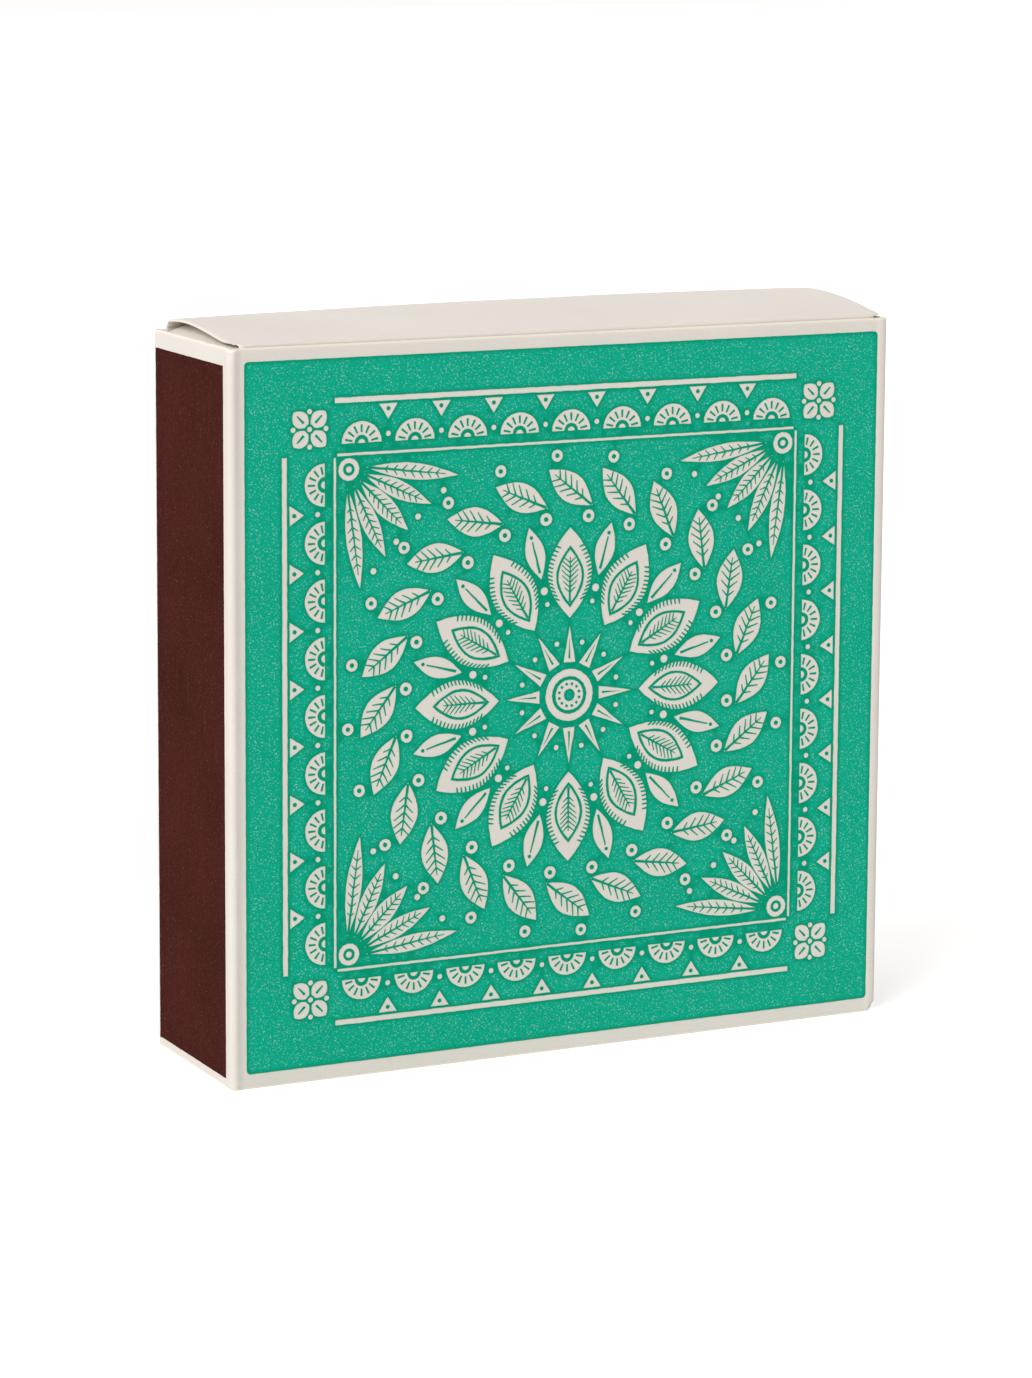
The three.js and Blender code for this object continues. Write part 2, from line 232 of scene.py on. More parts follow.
def buildFibreGrain():
    # paper fibres: fine even grain with short strands in two directions
    group, given, result = newGroup("fibreGrain", {"Scale": 3500.0}, ("Mask", "Height"))
    scale = given.outputs["Scale"]
    fine = noiseFactor(group, objectPlace(group), scale, detail=4.0, roughness=0.65)
    upright = noiseFactor(group, objectPlace(group, effectSet["uprightStretch"]), scale, detail=2.0)
    level = noiseFactor(group, objectPlace(group, effectSet["levelStretch"]), scale, detail=2.0)
    strands = maths(group, "MULTIPLY", maths(group, "ADD", upright, level), 0.5)
    mask = maths(group, "MULTIPLY", maths(group, "ADD", fine, strands), 0.5)
    group.links.new(remap(group, mask, *effectSet["grainLevels"]), result.inputs["Mask"])
    group.links.new(mask, result.inputs["Height"])
    return group


def buildSoftMottle():
    # slow uneven cloudiness
    group, given, result = newGroup("softMottle", {"Scale": 90.0}, ("Mask",))
    cloud = noiseFactor(group, objectPlace(group), given.outputs["Scale"], detail=4.0, roughness=0.5)
    group.links.new(remap(group, cloud, *effectSet["mottleLevels"]), result.inputs["Mask"])
    return group


def buildSpecks():
    # small separate spots: more Amount, more of them
    group, given, result = newGroup("specks", {"Scale": 3800.0, "Amount": 0.3}, ("Mask",))
    spots = noiseFactor(group, objectPlace(group), given.outputs["Scale"], detail=1.5, roughness=0.5)
    drop = maths(group, "MULTIPLY", given.outputs["Amount"], effectSet["speckDrop"])
    above = maths(group, "SUBTRACT", spots, maths(group, "SUBTRACT", effectSet["speckLevel"], drop))
    mask = maths(group, "MULTIPLY", above, effectSet["speckSharpness"], clamp=True)
    group.links.new(mask, result.inputs["Mask"])
    return group


def useGroup(tree, group, **values):
    node = addNode(tree, "ShaderNodeGroup", node_tree=group)
    for label, value in values.items():
        node.inputs[label].default_value = value
    return node


def mixColour(tree, factor, first, second):
    node = addNode(tree, "ShaderNodeMix", data_type="RGBA")
    for index, value in ((0, factor), (6, first), (7, second)):
        if isinstance(value, bpy.types.NodeSocket):
            tree.links.new(value, node.inputs[index])
        elif index:
            node.inputs[index].default_value = (*value, 1.0)
        else:
            node.inputs[index].default_value = value
    return node.outputs[2]


def newMaterial(name):
    material = bpy.data.materials.new(name)
    material.use_nodes = True
    tree = material.node_tree
    return material, tree, tree.nodes["Principled BSDF"]


def addBump(tree, shader, height, depth):
    # depth in millimetres
    bump = addNode(tree, "ShaderNodeBump", {"Height": height, "Distance": depth * mm, "Strength": 1.0})
    tree.links.new(bump.outputs["Normal"], shader.inputs["Normal"])


fibreGrain = buildFibreGrain()
softMottle = buildSoftMottle()
specks = buildSpecks()


# Board

boardSet = {
    "faceLight": (0.86, 0.815, 0.757),
    "faceDark": (0.80, 0.75, 0.69),
    "trayLight": (0.832, 0.788, 0.738),
    "trayDark": (0.772, 0.724, 0.672),
    "coreLight": (0.93, 0.88, 0.79),
    "coreDark": (0.76, 0.66, 0.53),
    # cut edges are painted lighter than the face: rubbed wear and a painted highlight of the edge catching the
    # light
    "rubAndHighlight": (0.97, 0.91, 0.78),
    # a darker line beside the front folds: scuffing and painted shade of the crease
    "scuffAndCreaseShade": (0.70, 0.61, 0.55),
    "grainShare": 0.55, "cloudShare": 0.45,   # of the change from dark to light
    "cloudScale": 55.0,
    "rubAndHighlightReach": (0.05, 0.55),                 # where the rubbed and painted-highlight colour starts and is full, 1 at the cut
    "rubAndHighlightStrength": (0.5, 1.0),                # in the grain's hollows and on its tops
    "scuffShadeStrength": (0.9, 0.35),
    "roughness": (0.74, 0.62),
    "specular": 0.2,
    "faceGrain": 3200.0, "trayGrain": 3000.0, "coreGrain": 5200.0,
    "faceDepth": 0.012, "coreDepth": 0.03,
}


def boardMaterial(name, light, dark, grainScale, depth):
    material, tree, shader = newMaterial(name)
    grain = useGroup(tree, fibreGrain, Scale=boardSet[grainScale])
    fibres = grain.outputs["Mask"]
    cloud = useGroup(tree, softMottle, Scale=boardSet["cloudScale"]).outputs["Mask"]
    tone = weigh(tree, fibres, boardSet["grainShare"], cloud, boardSet["cloudShare"])
    surface = mixColour(tree, tone, boardSet[dark], boardSet[light])
    # a line beside each front fold is painted darker: scuffing and painted shade of the crease
    fold = addNode(tree, "ShaderNodeAttribute", attribute_name="foldScuffAndShade").outputs["Fac"]
    scuffAndShade = maths(tree, "MULTIPLY", fold, remap(tree, fibres, 0, 1, *boardSet["scuffShadeStrength"]))
    surface = mixColour(tree, scuffAndShade, surface, boardSet["scuffAndCreaseShade"])
    # the cut edges and a narrow strip beside them are painted lighter: rubbed wear and a painted highlight
    cut = addNode(tree, "ShaderNodeAttribute", attribute_name="cutEdge").outputs["Fac"]
    rubAndHighlight = maths(tree, "MULTIPLY", remap(tree, cut, *boardSet["rubAndHighlightReach"]),
                   remap(tree, fibres, 0, 1, *boardSet["rubAndHighlightStrength"]))
    surface = mixColour(tree, rubAndHighlight, surface, boardSet["rubAndHighlight"])
    tree.links.new(surface, shader.inputs["Base Color"])
    tree.links.new(remap(tree, fibres, 0, 1, *boardSet["roughness"]), shader.inputs["Roughness"])
    shader.inputs["Specular IOR Level"].default_value = boardSet["specular"]
    addBump(tree, shader, grain.outputs["Height"], boardSet[depth])
    return material


coatedBoard = boardMaterial("coatedBoard", "faceLight", "faceDark", "faceGrain", "faceDepth")
boardCore = boardMaterial("boardCore", "coreLight", "coreDark", "coreGrain", "coreDepth")
trayBoard = boardMaterial("trayBoardFace", "trayLight", "trayDark", "trayGrain", "faceDepth")


# Sleeve: one sheet folded round, from the glued flap inside the back to the back panel's cut edge over it

sleeveSet = {
    "board": 0.5,
    "foldRadius": 0.9, "foldSteps": 8,
    "flapWidth": 12.0,
    "seamInset": 0.25,
    "ridge": 0.15,               # how far the folds stand proud of the panels
    "ridgeWidth": 1.15,
    "step": 1.5,
    "fineStep": 0.15, "fineReach": 1.5,   # beside the folds
    "edgeRagged": 0.05, "raggedSize": 1.1,
    "nickY": -6.5, "nickWidth": 0.9, "nickDepth": 0.16, "nickReach": 1.5,
    "cornerCrush": 0.4, "cornerReach": 1.5, "cornerHeight": 2.2, "cornerLean": 0.16,
    "cornerRough": 0.7, "cornerRoughSize": 0.5,
    "footWear": 0.9, "footReach": 1.8, "footHeight": 1.6, "footShift": (-0.5, 0.3),
    # where and how patchily the line beside each front fold is painted darker: scuffing and painted crease
    # shade
    "scuffShadePlace": 1.15, "scuffShadeWidth": 0.32,
    "scuffShadeEven": 0.6, "scuffShadePatchy": 0.4, "scuffShadePatch": 5.0,
    "levels": (0, 0.42, 0.8, 1.5, 2.5), "levelStep": 4,   # heights from each end, then the step between
}
low, high = (Vector(corner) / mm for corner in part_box("sleeve"))
halfWidth, halfDepth, sleeveHeight = high.x, high.y, high.z


def panelInset(distance):
    # a panel lies a little behind the folds beside it
    return sleeveSet["ridge"] * smoothStep(distance / sleeveSet["ridgeWidth"])


def foldDistance(along, halfLength):
    return halfLength - sleeveSet["foldRadius"] - abs(along)


def panelLine(start, end, inward, ridgeAtEnd=True):
    # points along a panel's middle, close together beside the folds
    length = (end - start).length
    reach = sleeveSet["fineReach"]
    fine = spread(0, reach, sleeveSet["fineStep"])
    coarse = spread(reach, length - reach, sleeveSet["step"])[1:-1]
    along = (end - start).normalized()
    line = []
    for place in fine + coarse + [length - d for d in reversed(fine)]:
        edge = min(place, length - place) if ridgeAtEnd else place
        line.append(start + along * place + inward * panelInset(edge))
    return line


def sleeveLine():
    board, radius, steps = sleeveSet["board"], sleeveSet["foldRadius"], sleeveSet["foldSteps"]
    middle = radius - board / 2
    nearX, nearY = halfWidth - radius, halfDepth - radius
    backRight = arcPoints(nearX, halfDepth - board - radius, middle, 90, 0, steps)
    frontRight = arcPoints(nearX, -nearY, middle, 0, -90, steps)
    frontLeft = arcPoints(-nearX, -nearY, middle, -90, -180, steps)
    backLeft = arcPoints(-nearX, nearY, middle, 180, 90, steps)
    flapEdge = Vector((halfWidth - board - sleeveSet["flapWidth"], backRight[0].y))
    seam = Vector((halfWidth - sleeveSet["seamInset"], backLeft[-1].y))
    line = panelLine(backRight[0], flapEdge, Vector((0, -1)), False)[:0:-1]
    folds = (backRight, frontRight, frontLeft, backLeft)
    for fold, following, inward in zip(folds, folds[1:], (Vector((-1, 0)), Vector((0, 1)), Vector((1, 0)))):
        line += fold + panelLine(fold[-1], following[0], inward)[1:-1]
    return line + backLeft + panelLine(backLeft[-1], seam, Vector((0, -1)), False)[1:]


def sleevePoint(x, y, z):
    # wear: ragged cut edges, a nick, a crushed corner at the top left and a worn one at the bottom right
    top = z == sleeveHeight
    if top or z == 0:
        ragged = sleeveSet["edgeRagged"] * (0.5 + 0.5 * wobble(x, y, z, sleeveSet["raggedSize"], 3.0))
        z += -ragged if top else ragged
    if top and x < -halfWidth + sleeveSet["nickReach"]:
        z -= sleeveSet["nickDepth"] * math.exp(-((y - sleeveSet["nickY"]) / sleeveSet["nickWidth"]) ** 2)
    away = math.hypot(x + halfWidth, y + halfDepth)
    crush = smoothStep(1 - away / sleeveSet["cornerReach"])
    crush *= smoothStep((z - sleeveHeight) / sleeveSet["cornerHeight"] + 1)
    crush *= 1 + sleeveSet["cornerRough"] * wobble(x, y, z, sleeveSet["cornerRoughSize"], 7.0)
    z -= sleeveSet["cornerCrush"] * crush
    lean = sleeveSet["cornerLean"] * crush
    foot = math.hypot(x - halfWidth, y + halfDepth)
    worn = smoothStep(1 - foot / sleeveSet["footReach"]) * smoothStep(1 - z / sleeveSet["footHeight"])
    shiftX, shiftY = sleeveSet["footShift"]
    return (x + lean + shiftX * worn, y + lean + shiftY * worn, z + sleeveSet["footWear"] * worn)


def markFolds(piece):
    # 1 along the line beside each front fold that is painted darker: partly scuffing, partly painted shade of
    # the crease
    values = []
    for vertex in piece.data.vertices:
        x, y, z = vertex.co / mm
        away = (halfWidth - abs(x) - sleeveSet["scuffShadePlace"]) / sleeveSet["scuffShadeWidth"]
        patches = sleeveSet["scuffShadePatchy"] * wobble(x, y, z, sleeveSet["scuffShadePatch"], 2.0)
        onFront = y < 2 * sleeveSet["board"] - halfDepth
        values.append((sleeveSet["scuffShadeEven"] + patches) * math.exp(-away * away) if onFront else 0.0)
    setLayer(piece, "foldScuffAndShade", values)


def makeSleeve():
    ends, step = list(sleeveSet["levels"]), sleeveSet["levelStep"]
    levels = ends + spread(step, sleeveHeight - step, step) + [sleeveHeight - d for d in reversed(ends)]
    verts, faces, slots = bentSheet(sleeveLine(), levels, sleeveSet["board"], sleevePoint)
    piece = makePiece("sleeveBoard", verts, faces, [coatedBoard, boardCore], slots)
    markCutEdges(piece)
    markFolds(piece)
    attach(piece, "sleeve")
    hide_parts("sleeve")
    return piece


makeSleeve()
print("sleeve made")


# Flat layers of print and striking paint. Each is a thin film over the panel with slightly rough edges.

filmSet = {
    "roughness": ((1.3, 0.75), (0.4, 0.5)),   # size and share of each set of waves in an outline
    "jitter": 0.3,               # of the grid inside an outline, as a share of its step
    "mergeDistance": 1e-4,
}


def roughen(points, amount, step, seed):
    result = []
    for point, following in zip(points, points[1:] + points[:1]):
        parts = max(1, math.ceil((following - point).length / step))
        for k in range(parts):
            x, y = point.lerp(following, k / parts)
            shift = Vector((0, 0))
            for size, share in filmSet["roughness"]:
                shift += Vector((wobble(x, y, 0, size, seed), wobble(x, y, 0, size, seed + 31))) * share
            result.append(Vector((x, y)) + shift * amount)
    return result


def signedArea(points):
    return sum(a.x * b.y - b.x * a.y for a, b in zip(points, points[1:] + points[:1])) / 2


def paintedFilm(shapes, gridStep, toPoint, film):
    # shapes are painted in order, each (points, inked). Gives a closed film where the last paint is ink,
    # and each vertex's distance from the film's nearest outline.
    verts, faces = [], []
    for points, _ in shapes:
        ordered = points if signedArea(points) > 0 else points[::-1]
        faces.append(list(range(len(verts), len(verts) + len(ordered))))
        verts.extend(ordered)
    xs = [v.x for v in verts]
    ys = [v.y for v in verts]
    chance = random.Random(11)
    reach = filmSet["jitter"] * gridStep
    for x in spread(min(xs) + gridStep, max(xs) - gridStep, gridStep):
        for y in spread(min(ys) + gridStep, max(ys) - gridStep, gridStep):
            verts.append(Vector((x + chance.uniform(-reach, reach), y + chance.uniform(-reach, reach))))
    keepInside = 1
    points, _, triangles, _, _, sources = delaunay_2d_cdt(
        verts, [], faces, keepInside, filmSet["mergeDistance"], True)
    inked = [triangle for triangle, ids in zip(triangles, sources) if ids and shapes[max(ids)][1]]
    directed = {(t[k], t[(k + 1) % 3]) for t in inked for k in range(3)}
    outline = [edge for edge in directed if (edge[1], edge[0]) not in directed]
    used = sorted({i for t in inked for i in t})
    number = {old: new for new, old in enumerate(used)}
    tree = kdtree.KDTree(len(outline))
    for k, (a, b) in enumerate(outline):
        middle = (points[a] + points[b]) / 2
        tree.insert((middle.x, middle.y, 0), k)
    tree.balance()
    onOutline = {i for edge in outline for i in edge}
    rims = [0.0 if i in onOutline else tree.find((points[i].x, points[i].y, 0))[2] for i in used]
    front = [toPoint(points[i].x, points[i].y, film) for i in used]
    back = [toPoint(points[i].x, points[i].y, 0.0) for i in used]
    size = len(used)
    solid = [[number[i] for i in t] for t in inked]
    solid += [[number[i] + size for i in reversed(t)] for t in inked]
    solid += [[number[b], number[a], number[a] + size, number[b] + size] for a, b in outline]
    return front + back, solid, rims + rims


def rimLayer(piece, rims):
    setLayer(piece, "rim", rims)


# Striking strips

strikerSet = {
    "film": 0.05,
    "rough": 0.05, "outlineStep": 0.5, "gridStep": 1.3,
    "dark": (0.034, 0.0066, 0.0046),
    "light": (0.084, 0.0180, 0.0130),
    "grit": (0.17, 0.070, 0.050),
    "grainScale": 2700.0, "cloudScale": 70.0,
    "grainShare": 0.7, "cloudShare": 0.3,
    "gritScale": 3300.0, "gritAmount": 0.26,
    "scratchScale": 260.0, "scratchStretch": (1, 9, 0.35),
    "scratchLevels": (0.66, 0.8), "scratchStrength": 0.35,
    "roughness": 0.82, "specular": 0.03, "grainDepth": 0.05,
}


def makeStrikerMaterial():
    material, tree, shader = newMaterial("strikingPaint")
    grain = useGroup(tree, fibreGrain, Scale=strikerSet["grainScale"])
    cloud = useGroup(tree, softMottle, Scale=strikerSet["cloudScale"]).outputs["Mask"]
    tone = weigh(tree, grain.outputs["Mask"], strikerSet["grainShare"], cloud, strikerSet["cloudShare"])
    base = mixColour(tree, tone, strikerSet["dark"], strikerSet["light"])
    grit = useGroup(tree, specks, Scale=strikerSet["gritScale"], Amount=strikerSet["gritAmount"])
    stretched = objectPlace(tree, strikerSet["scratchStretch"])
    long = noiseFactor(tree, stretched, strikerSet["scratchScale"], detail=2.0)
    scratch = remap(tree, long, *strikerSet["scratchLevels"], 0.0, strikerSet["scratchStrength"])
    marks = maths(tree, "MAXIMUM", grit.outputs["Mask"], scratch)
    tree.links.new(mixColour(tree, marks, base, strikerSet["grit"]), shader.inputs["Base Color"])
    shader.inputs["Roughness"].default_value = strikerSet["roughness"]
    shader.inputs["Specular IOR Level"].default_value = strikerSet["specular"]
    addBump(tree, shader, grain.outputs["Height"], strikerSet["grainDepth"])
    return material


strikingPaint = makeStrikerMaterial()


def makeStriker(name, node, side):
    low, high = (Vector(corner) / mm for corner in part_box(node))
    corners = [Vector(p) for p in ((low.y, low.z), (high.y, low.z), (high.y, high.z), (low.y, high.z))]
    frontFold = halfDepth - sleeveSet["foldRadius"]
    rearFold = frontFold - (sleeveSet["board"] if side > 0 else 0)

    def toPoint(y, z, film):
        return (side * (halfWidth - panelInset(min(rearFold - y, y + frontFold)) + film), y, z)

    outline = roughen(corners, strikerSet["rough"], strikerSet["outlineStep"], 20.0 + side)
    verts, faces, rims = paintedFilm([(outline, True)], strikerSet["gridStep"], toPoint, strikerSet["film"])
    piece = makePiece(name, verts, faces, [strikingPaint])
    rimLayer(piece, rims)
    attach(piece, "sleeve")
    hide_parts(node)


makeStriker("strikingStripLeft", "striker_left", -1)
makeStriker("strikingStripRight", "striker_right", 1)
print("striking strips made")


# Front print: a sun in a ring of petals, a turning wreath and a fan in each corner, in a scalloped border.
# Lengths are millimetres from the print's middle.

printSet = {
    "film": 0.04,
    "margin": 0.06,                  # from the edge of the CAD's print to the ink's own
    "cornerRadius": 0.6,
    "rough": 0.07, "fieldRough": 0.05, "smallShape": 1.6,   # smaller shapes are half as rough
    "outlineStep": 0.5, "gridStep": 1.2,
    # rings and dots are (place, radius, corners, inked), and leaves are (start, length, width)
    "sunRings": ((0, 4.0, 24, False), (0, 2.9, 20, True), (0, 2.35, 20, False), (0, 0.95, 12, True)),
    "sunDot": (1.72, 0.24, 7, True),
    "rays": 12, "ray": (5, 10.6, 1.0), "raySlit": (5.6, 8.6, 0.16), "rayDot": (8.2, 0.42, 8, False),
    "petal": (11.8, 13.8, 7.4), "petalGap": (13.4, 9.4, 4.7), "petalHeart": (14.0, 8.2, 3.9),
    "petalFullness": 0.9, "petalTicks": 7, "petalRib": 0.26,
    "notches": 14, "notchSpan": (0.2, 0.62), "notchBack": 0.3, "notchDepth": 0.75, "notchWidths": (0.3, 0.2),
    "bud": (18.6, 8.2, 3.2), "budRib": (19.6, 24.6, 0.42, 0.2),
    "budDots": ((25.2, 0.3, 8, True), (16.7, 0.62, 10, False), (14.6, 0.4, 8, False)),
    "wreathLeaves": 24, "wreathLeaf": (-4.7, 9.4, 4.4), "wreathTicks": 5, "wreathRib": 0.3,
    "wreathRadius": 31.6, "wreathTurn": 52,
    "berries": ((27.3, 8.6, 1.0), (36.6, 3.6, 0.95)), "berryEye": 0.4,   # place, turn, radius
    "fanPlace": 37, "fanStart": 3.4, "fanTicks": 7, "fanRib": 0.26,
    "fanLobes": ((0, 11, 2.9), (20, 12, 2.7), (-20, 12, 2.7), (37.5, 15.2, 2.5), (-37.5, 15.2, 2.5)),
    "fanEye": ((0.9, 1.7, 14, False), (0.9, 0.95, 11, True), (0.9, 0.5, 9, False)),
    "fanDots": ((10, 14.4), (-10, 14.4), (29, 16.6), (-29, 16.6)), "fanDot": (0.5, 9, False),
    "outerLine": 46.6, "outerLineWidth": 0.8,
    "innerLine": 38.6, "innerLineWidth": 0.4,
    "tiles": 9, "tileGap": 1.6, "scallop": 3.2, "scallopGap": 1.15, "scallopEye": 0.6, "eyeLift": 0.02,
    "scallopTicks": (12, 26, 7), "tickReach": (1.55, 2.7), "tickWidths": (0.26, 0.34),   # first, step, count
    "pointHeight": 2.3, "pointWidth": 3.0, "pointEye": (0.75, 0.34), "tileDot": (1.15, 0.42),
    "flowerPetal": (0.5, 3.1, 2.5), "flowerFullness": 0.7, "flowerRib": (1.3, 2.8, 0.4, 0.2),
    "flowerDot": (2.6, 0.42, 8, False), "flowerEye": ((0, 0.75, 10, True), (0, 0.42, 8, False)),
}
leafSet = {
    "steps": 12,                     # along one side of a leaf's outline
    "ribFrom": 0.02, "ribMiddle": 0.5, "ribTo": 0.14, "ribWidths": (1.5, 1.0, 0.45),   # shares of its length
    "tickSpan": (0.16, 0.64), "tickAhead": 0.62, "tickOut": 0.72, "tickWidths": (0.95, 0.5),
}


def placed(points, turn=0.0, x=0.0, y=0.0):
    c, s = math.cos(math.radians(turn)), math.sin(math.radians(turn))
    return [Vector((x + p.x * c - p.y * s, y + p.x * s + p.y * c)) for p in points]


def turned(shapes, turn, x=0.0, y=0.0):
    return [(placed(points, turn, x, y), inked) for points, inked in shapes]


def leafOutline(start, length, width, fullness=1.0):
    steps = leafSet["steps"]
    edge = [Vector((start + length * i / steps, width / 2 * math.sin(math.pi * i / steps) ** fullness))
            for i in range(steps + 1)]
    return edge + [Vector((p.x, -p.y)) for p in reversed(edge[1:-1])]


def stroke(points, widths):
    # a line with a width at each point
    left, right = [], []
    for i, point in enumerate(points):
        ahead = points[min(i + 1, len(points) - 1)] - points[max(i - 1, 0)]
        across = Vector((-ahead.y, ahead.x)).normalized() * widths[i] / 2
        left.append(point + across)
        right.append(point - across)
    return left + right[::-1]


def rib(start, end, wide, narrow):
    return (stroke([Vector((start, 0)), Vector((end, 0))], [wide, narrow]), True)


def dot(place, radius, corners, inked):
    return (arcPoints(place, 0, radius, 0, 360, corners)[:-1], inked)


def hatchedLeaf(leaf, ticks, width, fullness=1.0):
    # a bare leaf with an inked rib and slanting ticks on both sides of it
    start, length, leafWidth = leaf
    shapes = [(leafOutline(*leaf, fullness), False)]
    places = (start + leafSet["ribFrom"] * length, start + leafSet["ribMiddle"] * length,
              start + length - leafSet["ribTo"] * length)
    shapes.append((stroke([Vector((place, 0)) for place in places],
                          [width * share for share in leafSet["ribWidths"]]), True))
    first, span = leafSet["tickSpan"]
    for i in range(ticks):
        along = first + span * (i + 0.5) / ticks
        reach = leafWidth / 2 * math.sin(math.pi * along) ** fullness
        foot = start + length * along
        for side in (1, -1):
            end = Vector((foot + reach * leafSet["tickAhead"], side * reach * leafSet["tickOut"]))
            tickWidths = [width * share for share in leafSet["tickWidths"]]
            shapes.append((stroke([Vector((foot, 0)), end], tickWidths), True))
    return shapes


def sunShapes():
    shapes = [dot(*ring) for ring in printSet["sunRings"]]
    step = 360 / printSet["rays"]
    for i in range(printSet["rays"]):
        shapes += turned([dot(*printSet["sunDot"])], (i + 0.5) * step)
    for i in range(printSet["rays"]):
        for key, inked in (("ray", False), ("raySlit", True)):
            start, end, half = printSet[key]
            spike = [Vector((start, half)), Vector((start, -half)), Vector((end, 0))]
            shapes += turned([(spike, inked)], i * step)
        shapes += turned([dot(*printSet["rayDot"])], (i + 0.5) * step)
    return shapes


def petalShapes():
    full = printSet["petalFullness"]
    petal = [(leafOutline(*printSet["petal"], full), False), (leafOutline(*printSet["petalGap"], full), True)]
    petal += hatchedLeaf(printSet["petalHeart"], printSet["petalTicks"], printSet["petalRib"], full)
    start, length, width = printSet["petal"]
    first, span = printSet["notchSpan"]
    for i in range(printSet["notches"]):
        along = first + span * (i + 0.5) / printSet["notches"]
        edge = width / 2 * math.sin(math.pi * along) ** full
        foot = start + length * along
        for side in (1, -1):
            inner = Vector((foot - printSet["notchBack"], side * (edge - printSet["notchDepth"])))
            petal.append((stroke([Vector((foot, side * edge)), inner], printSet["notchWidths"]), True))
    bud = [(leafOutline(*printSet["bud"]), False), rib(*printSet["budRib"])]
    bud += [dot(*settings) for settings in printSet["budDots"]]
    step = 360 / printSet["rays"]
    shapes = []
    for i in range(printSet["rays"]):
        shapes += turned(petal, i * step) + turned(bud, (i + 0.5) * step)
    return shapes


def wreathShapes():
    shapes = []
    leaf = hatchedLeaf(printSet["wreathLeaf"], printSet["wreathTicks"], printSet["wreathRib"])
    leaf = turned(turned(leaf, printSet["wreathTurn"]), 0, printSet["wreathRadius"])
    for i in range(printSet["wreathLeaves"]):
        angle = i * 360 / printSet["wreathLeaves"]
        shapes += turned(leaf, angle)
        for place, turn, radius in printSet["berries"]:
            berry = [dot(place, radius, 11, False), dot(place, radius * printSet["berryEye"], 7, True)]
            shapes += turned(berry, angle + turn)
    return shapes


def fanShapes():
    fan = []
    for lean, length, width in printSet["fanLobes"]:
        leaf = hatchedLeaf((printSet["fanStart"], length, width), printSet["fanTicks"], printSet["fanRib"])
        fan += turned(leaf, lean)
    fan += [dot(*ring) for ring in printSet["fanEye"]]
    for lean, place in printSet["fanDots"]:
        fan += turned([dot(place, *printSet["fanDot"])], lean)
    fan = turned(fan, 225, printSet["fanPlace"], printSet["fanPlace"])
    return [shape for corner in range(4) for shape in turned(fan, corner * 90)]


def bar(halfLength, place, width):
    corners = ((-1, -1), (1, -1), (1, 1), (-1, 1))
    return [Vector((side * halfLength, place + up * width / 2)) for side, up in corners]


def borderSide():
    inner, outer = printSet["innerLine"], printSet["outerLine"]
    pitch = 2 * inner / printSet["tiles"]
    lowLine = inner + printSet["tileGap"]
    highLine = outer - printSet["tileGap"] / 2
    side = [(bar(inner, outer, printSet["outerLineWidth"]), False),
            (bar(inner - printSet["innerLineWidth"], inner, printSet["innerLineWidth"]), False)]
    first, step, count = printSet["scallopTicks"]
    for i in range(printSet["tiles"]):
        x = pitch * (i - (printSet["tiles"] - 1) / 2)
        side.append((arcPoints(x, lowLine, printSet["scallop"], 0, 180, 14), False))
        side.append((arcPoints(x, lowLine + printSet["eyeLift"], printSet["scallopGap"], 0, 180, 8), True))
        side.append((arcPoints(x, lowLine, printSet["scallopEye"], 0, 180, 6), False))
        for k in range(count):
            angle = math.radians(first + step * k)
            ahead = Vector((math.cos(angle), math.sin(angle)))
            ends = [Vector((x, lowLine)) + ahead * reach for reach in printSet["tickReach"]]
            side.append((stroke(ends, printSet["tickWidths"]), True))
        if i < printSet["tiles"] - 1:
            x += pitch / 2
            half = printSet["pointWidth"] / 2
            side.append(([Vector((x - half, highLine)), Vector((x, highLine - printSet["pointHeight"])),
                          Vector((x + half, highLine))], False))
            drop, radius = printSet["pointEye"]
            side += turned([dot(0, radius, 8, True)], 0, x, highLine - drop)
            rise, radius = printSet["tileDot"]
            side += turned([dot(0, radius, 8, False)], 0, x, lowLine + rise)
    return side


def borderShapes():
    petalOutline = leafOutline(*printSet["flowerPetal"], printSet["flowerFullness"])
    petal = [(petalOutline, False), rib(*printSet["flowerRib"])]
    flower = []
    for k in range(4):
        flower += turned(petal, 45 + 90 * k) + turned([dot(*printSet["flowerDot"])], 90 * k)
    flower += [dot(*ring) for ring in printSet["flowerEye"]]
    middle = (printSet["innerLine"] + printSet["outerLine"]) / 2
    side = borderSide() + turned(flower, 0, middle, middle)
    return [shape for k in range(4) for shape in turned(side, 90 * k)]


def inkField(halfWide, halfHigh):
    radius = printSet["cornerRadius"]
    points = []
    for k, (sx, sy) in enumerate(((1, 1), (-1, 1), (-1, -1), (1, -1))):
        points += arcPoints(sx * (halfWide - radius), sy * (halfHigh - radius), radius, 90 * k, 90 * k + 90, 5)
    return points


inkSet = {
    "deep": (0.0005, 0.345, 0.195),
    "middle": (0.0005, 0.400, 0.250),
    "pale": (0.0035, 0.475, 0.310),
    "bare": (0.36, 0.66, 0.52),
    "rimReach": (0.12, 0.75),        # over which the heavy ink along an outline thins out
    "grainScale": 3400.0, "cloudScale": 75.0,
    "grainShare": 0.8, "cloudShare": 0.35,
    "speckScale": 3700.0, "speckAmount": 0.37, "speckStrength": 0.72,
    "clumpScale": 620.0, "clumpLevels": (0.34, 0.62), "clumpRange": (0.45, 1.0),
    "roughness": (0.5, 0.68), "specular": 0.04, "grainDepth": 0.02,
}


